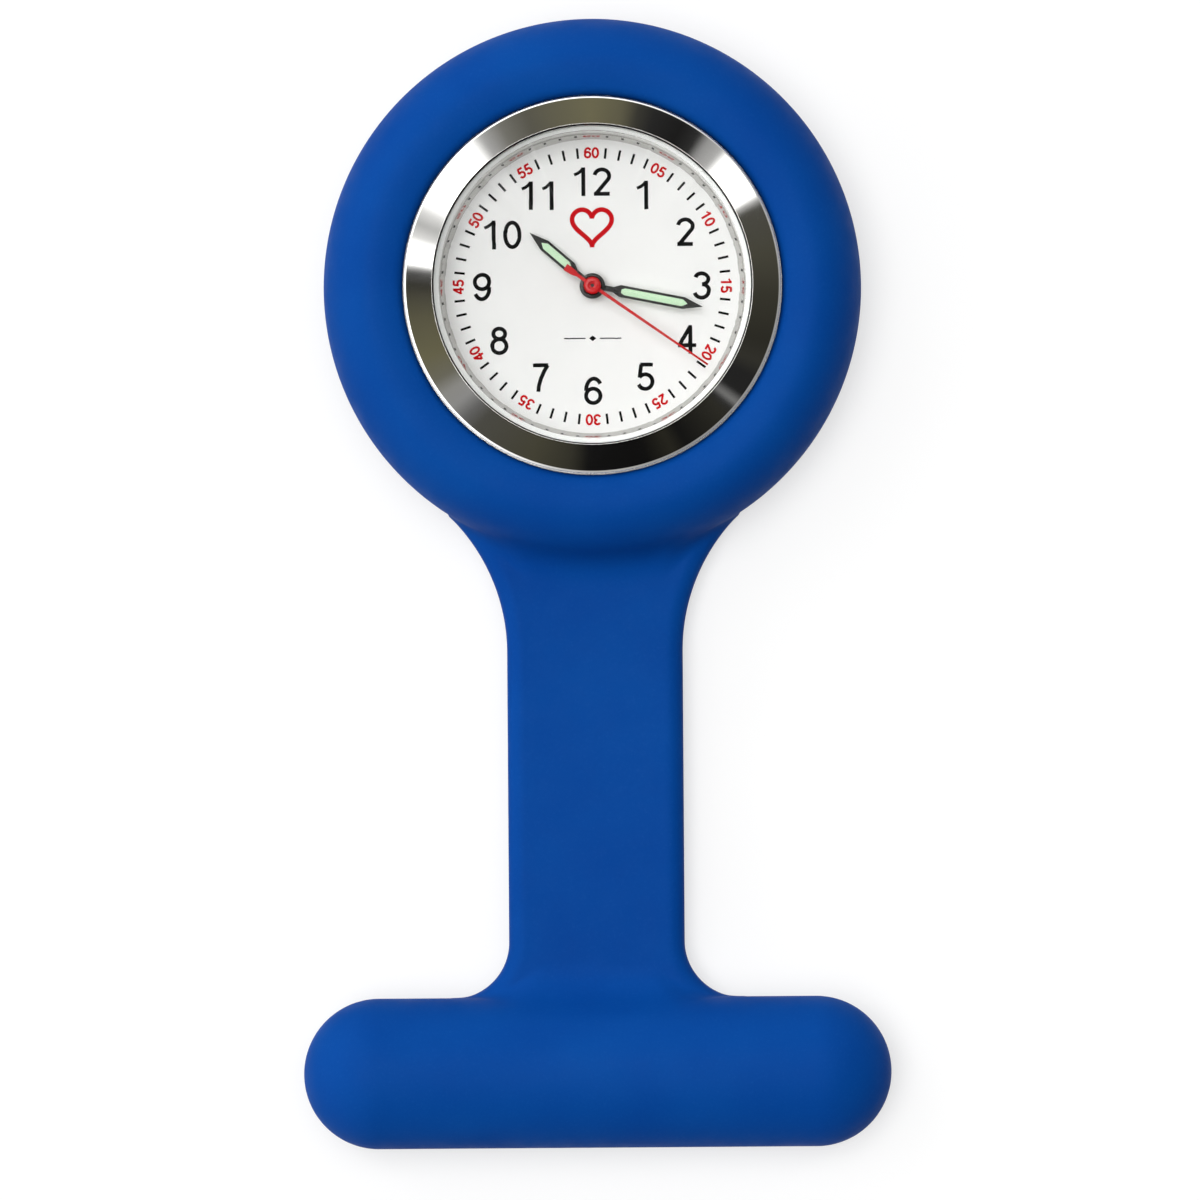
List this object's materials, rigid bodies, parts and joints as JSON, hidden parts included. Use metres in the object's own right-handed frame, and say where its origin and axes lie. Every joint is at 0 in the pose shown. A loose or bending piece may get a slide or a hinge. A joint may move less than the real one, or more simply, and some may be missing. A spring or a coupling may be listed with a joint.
{
  "type": "nurse's fob watch",
  "caption": "Analogue quartz fob watch: round steel head in a one-piece silicone holder with strap, T-bar and brooch pin at the back.",
  "frame": {"origin": "on the hands' axis, on the flat of the case back on which the watch lies", "axes": "+Z out of the dial, +Y towards twelve o'clock and along the strap, +X towards three o'clock and the crown"},
  "size_m": [0.0454, 0.0871, 0.0099],
  "materials": {
    "silicone": "matte moulded silicone with a fine grain",
    "pin_steel": "nickel-plated stamped steel",
    "roller_brass": "plated turned brass",
    "case_steel": "turned stainless steel",
    "back_steel": "circular brushed stainless sheet",
    "black_rubber": "soft nitrile",
    "bezel_chrome": "mirror polish",
    "crystal_glass": "flat polished mineral glass with a bevelled edge",
    "crystal_gasket": "translucent nylon",
    "crown_steel": "fluted, polished end",
    "white_plastic": "moulded",
    "dial_paint": "satin white lacquer with black and red printing",
    "rehaut_plastic": "gloss white",
    "train_brass": "stamped and gilt",
    "hand_black": "gloss black lacquer",
    "hand_red": "gloss red lacquer",
    "lume": "pale green luminous paint",
    "plate_plastic": "moulded glass-filled plastic",
    "bridge_plate": "nickel-plated stamped sheet",
    "screw_steel": "polished",
    "magnet": "sintered",
    "lamination": "annealed sheet",
    "copper_wire": "enamelled wire",
    "board_green": "solder mask",
    "chip_black": "potting resin",
    "battery_steel": "nickel-plated cell"
  },
  "bodies": {
    "watch": {"silicone_holder": "silicone", "brooch_bar": "pin_steel", "pin_rivet": "pin_steel", "case_body": "case_steel", "case_back": "back_steel", "case_back_gasket": "black_rubber", "bezel": "bezel_chrome", "crystal": "crystal_glass", "crystal_gasket": "crystal_gasket", "crown_tube": "case_steel", "movement_ring": "white_plastic", "dial": "dial_paint", "rehaut_ring": "rehaut_plastic", "dial_washer": "train_brass", "main_plate": "plate_plastic", "train_bridge": "bridge_plate", "bridge_screws": "screw_steel", "stator": "lamination", "coil_core": "lamination", "coil_winding": "copper_wire", "circuit_board": "board_green", "ic_chip": "chip_black", "quartz_crystal": "screw_steel", "battery": "battery_steel", "battery_strap": "bridge_plate", "negative_contact": "train_brass"},
    "seconds_train": {"seconds_wheel": "train_brass", "seconds_hand": "hand_red"},
    "rotor": {"rotor": "magnet"},
    "fifth": {"fifth_wheel": "train_brass"},
    "third": {"third_wheel": "train_brass"},
    "minutes_train": {"centre_wheel": "train_brass", "minute_hand": "hand_black", "minute_lume": "lume"},
    "minute_wheel": {"minute_wheel": "train_brass"},
    "hours_train": {"hour_wheel": "train_brass", "hour_hand": "hand_black", "hour_lume": "lume"},
    "setting_wheel": {"setting_wheel": "train_brass"},
    "crown_slide": {"crown_seal": "black_rubber"},
    "crown": {"crown": "crown_steel", "winding_stem": "screw_steel"},
    "clutch": {"clutch_wheel": "screw_steel"},
    "setting_lever": {"setting_lever": "screw_steel"},
    "yoke": {"yoke": "screw_steel"},
    "pin": {"pin_arm": "pin_steel"},
    "catch_roller": {"catch_roller": "roller_brass"}
  },
  "joints": [
    {"name": "seconds", "type": "hinge", "parent": "watch", "child": "seconds_train", "pos_m": [0, 0, 0], "axis": [0, 0, -1], "continuous": true},
    {"name": "rotor_spin", "type": "hinge", "parent": "watch", "child": "rotor", "pos_m": [0, 0.00445, 0], "axis": [0, 0, -1], "continuous": true},
    {"name": "fifth_spin", "type": "hinge", "parent": "watch", "child": "fifth", "pos_m": [0.00077, 0.00249, 0], "axis": [0, 0, -1], "continuous": true},
    {"name": "third_spin", "type": "hinge", "parent": "watch", "child": "third", "pos_m": [0.00178, -0.00178, 0], "axis": [0, 0, -1], "continuous": true},
    {"name": "minutes", "type": "hinge", "parent": "watch", "child": "minutes_train", "pos_m": [0, 0, 0], "axis": [0, 0, -1], "continuous": true},
    {"name": "minute_wheel_spin", "type": "hinge", "parent": "watch", "child": "minute_wheel", "pos_m": [0.00193, 0.00052, 0], "axis": [0, 0, -1], "continuous": true},
    {"name": "hours", "type": "hinge", "parent": "watch", "child": "hours_train", "pos_m": [0, 0, 0], "axis": [0, 0, -1], "continuous": true},
    {"name": "setting_wheel_spin", "type": "hinge", "parent": "watch", "child": "setting_wheel", "pos_m": [0.00441, 0.00017, 0], "axis": [0, 0, -1], "continuous": true},
    {"name": "crown_pull", "type": "slide", "parent": "watch", "child": "crown_slide", "axis": [1, 0, 0], "range_m": [0, 0.0008]},
    {"name": "crown_turn", "type": "hinge", "parent": "crown_slide", "child": "crown", "pos_m": [0.016, 0, 0.0035], "axis": [1, 0, 0], "continuous": true},
    {"name": "clutch_slide", "type": "slide", "parent": "crown", "child": "clutch", "axis": [1, 0, 0], "range_m": [-0.0013, 0]},
    {"name": "setting_lever_swing", "type": "hinge", "parent": "watch", "child": "setting_lever", "pos_m": [0.0086, 0.0023, 0], "axis": [0, 0, 1], "range_deg": [0, 19.73]},
    {"name": "yoke_swing", "type": "hinge", "parent": "watch", "child": "yoke", "pos_m": [0.0065, -0.0024, 0], "axis": [0, 0, 1], "range_deg": [0, 11.89]},
    {"name": "pin_swing", "type": "hinge", "parent": "watch", "child": "pin", "pos_m": [0.0152, -0.0606, 0.0019], "axis": [0, -1, 0], "range_deg": [0, 75]},
    {"name": "catch_turn", "type": "hinge", "parent": "watch", "child": "catch_roller", "pos_m": [-0.0148, -0.0606, 0.0019], "axis": [-1, 0, 0], "range_deg": [0, 90]}
  ],
  "couplings": [
    {"joint": "rotor_spin", "follows": "seconds", "ratio": 30},
    {"joint": "fifth_spin", "follows": "seconds", "ratio": -5},
    {"joint": "third_spin", "follows": "seconds", "ratio": -0.13333},
    {"joint": "minutes", "follows": "seconds", "ratio": 0.016667},
    {"joint": "minute_wheel_spin", "follows": "seconds", "ratio": -0.0055556},
    {"joint": "hours", "follows": "seconds", "ratio": 0.0013889},
    {"joint": "setting_wheel_spin", "follows": "seconds", "ratio": 0.0083333},
    {"joint": "clutch_slide", "follows": "crown_pull", "ratio": -1.625},
    {"joint": "setting_lever_swing", "follows": "crown_pull", "rad_per_m": 430.46},
    {"joint": "yoke_swing", "follows": "crown_pull", "rad_per_m": 259.46}
  ]
}
